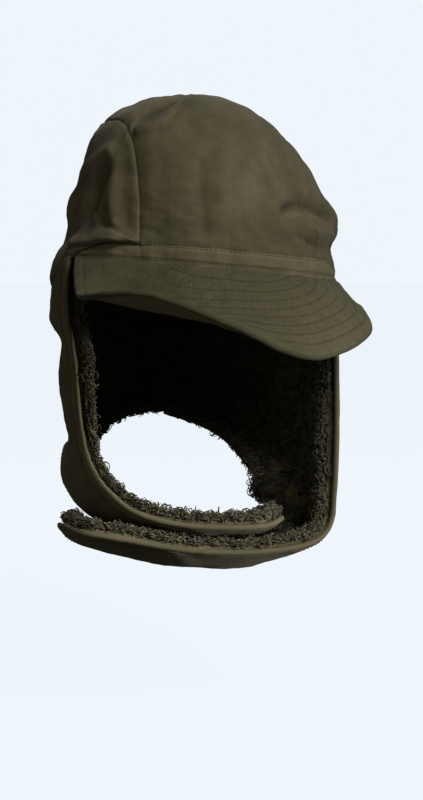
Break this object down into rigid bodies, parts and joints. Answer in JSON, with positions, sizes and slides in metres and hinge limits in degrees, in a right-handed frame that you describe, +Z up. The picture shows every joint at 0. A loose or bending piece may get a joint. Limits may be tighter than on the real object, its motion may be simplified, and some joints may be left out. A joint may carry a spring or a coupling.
{
  "type": "winter cap with visor and ear flaps",
  "caption": "Soft visored winter cap with a three-panel crown, quilted visor, and pile-lined ear and neck flaps whose tabs overlap under the chin.",
  "frame": {"origin": "inside of the crown's top, where a head carries the cap", "axes": "+Z up, the wearer looks along -Y, so the wearer's left side is at +X"},
  "size_m": [0.1907, 0.2741, 0.3067],
  "materials": {
    "cloth": "matte olive drab cotton, fine twill",
    "pile": "deep curly dark olive pile",
    "binding": "matte turned hem of lighter olive cotton"
  },
  "bodies": {
    "root": {"crown_center_panel": "cloth", "crown_side_panel_right": "cloth", "crown_side_panel_left": "cloth", "crown_band": "cloth", "visor_top": "cloth", "visor_underside": "cloth", "flap_shell_right": "cloth", "flap_shell_left": "cloth", "pile_lining_right": "pile", "pile_lining_left": "pile", "flap_binding_right": "binding", "flap_binding_left": "binding", "chin_closure": "binding"}
  },
  "joints": []
}
